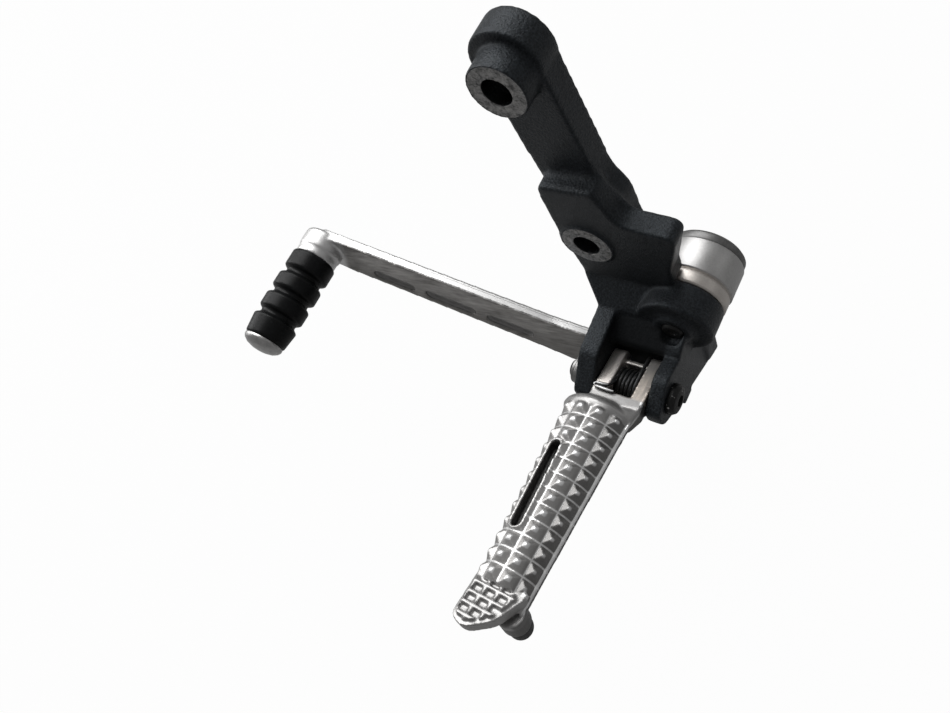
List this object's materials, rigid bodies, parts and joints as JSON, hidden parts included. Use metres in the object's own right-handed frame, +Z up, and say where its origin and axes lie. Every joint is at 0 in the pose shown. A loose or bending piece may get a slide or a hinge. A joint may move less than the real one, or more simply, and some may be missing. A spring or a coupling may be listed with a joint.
{
  "type": "motorcycle footrest hanger",
  "caption": "Left-hand motorcycle footrest hanger: black casting with a sprung folding footpeg, a gear lever with a rubber toe peg and a bolted balance weight.",
  "frame": {"origin": "centre of the lower mounting hole on its outboard seat face", "axes": "+X to the rear of the motorcycle, +Y inboard towards it, +Z up"},
  "size_m": [0.1791, 0.1553, 0.194],
  "materials": {
    "black_casting": "satin black paint over a fine cast grain",
    "blasted_alloy": "blasted cast alloy",
    "satin_alloy": "satin forged alloy",
    "turned_steel": "turned and plated steel",
    "dark_steel": "dark zinc-plated steel",
    "black_spring": "black spring steel with worn wire",
    "bush_bronze": "sintered bronze",
    "black_rubber": "satin moulded rubber"
  },
  "bodies": {
    "hanger": {"hanger_casting": "black_casting", "clevis_pin": "turned_steel", "pin_washer": "turned_steel", "pin_clip": "turned_steel", "balance_weight": "turned_steel", "weight_end_disc": "dark_steel", "weight_bolt": "dark_steel", "pivot_sleeve": "turned_steel", "pivot_washer": "turned_steel", "lever_pivot_bolt": "dark_steel"},
    "footpeg": {"footpeg_casting": "blasted_alloy", "return_spring": "black_spring", "feeler_bolt": "dark_steel"},
    "lever": {"gear_lever": "satin_alloy", "pivot_bush_outboard": "bush_bronze", "pivot_bush_inboard": "bush_bronze", "dust_seal_outboard": "black_rubber", "dust_seal_inboard": "black_rubber", "toe_stud": "turned_steel", "toe_rubber": "black_rubber", "toe_cap": "turned_steel"}
  },
  "joints": [
    {"name": "peg_fold", "type": "hinge", "parent": "hanger", "child": "footpeg", "pos_m": [0.0176, -0.0271, -0.0451], "axis": [-1, 0, 0], "range_deg": [0, 56], "stiffness_Nm_per_rad": 0.12, "springref_deg": -34.38, "deforming": ["return_spring"]},
    {"name": "lever_swing", "type": "hinge", "parent": "hanger", "child": "lever", "pos_m": [0.012, 0, -0.0744], "axis": [0, 1, 0], "range_deg": [-12, 12]}
  ]
}
